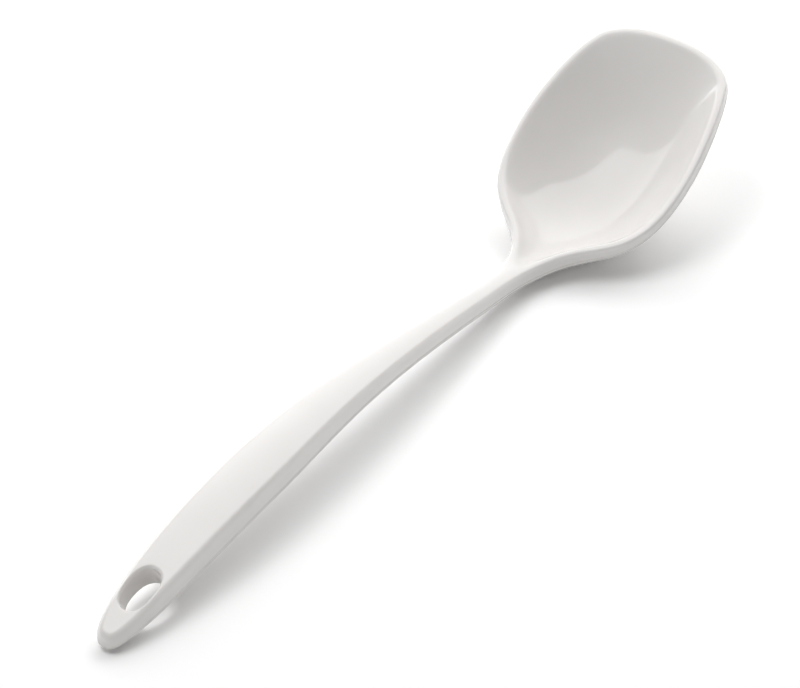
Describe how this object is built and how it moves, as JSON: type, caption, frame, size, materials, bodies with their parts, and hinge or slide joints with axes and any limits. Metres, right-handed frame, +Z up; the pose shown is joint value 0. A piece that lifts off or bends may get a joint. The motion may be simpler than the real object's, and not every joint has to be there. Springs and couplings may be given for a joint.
{
  "type": "melamine spoon",
  "caption": "Long-handled serving spoon moulded in white melamine, with a square-fronted bowl, a slim neck, an arched flat-topped handle and an oval hanging hole near its end.",
  "frame": {"origin": "on the table under the middle of the spoon's box, with the spoon lying on its bowl's belly and its handle's end", "axes": "+X runs from the handle's end to the front of the bowl, +Y is the spoon's left side, +Z is up, square to the table"},
  "size_m": [0.3, 0.0656, 0.0476],
  "materials": {
    "white_melamine": "glossy white melamine resin, smooth all over"
  },
  "bodies": {
    "root": {"spoon": "white_melamine"}
  },
  "joints": []
}
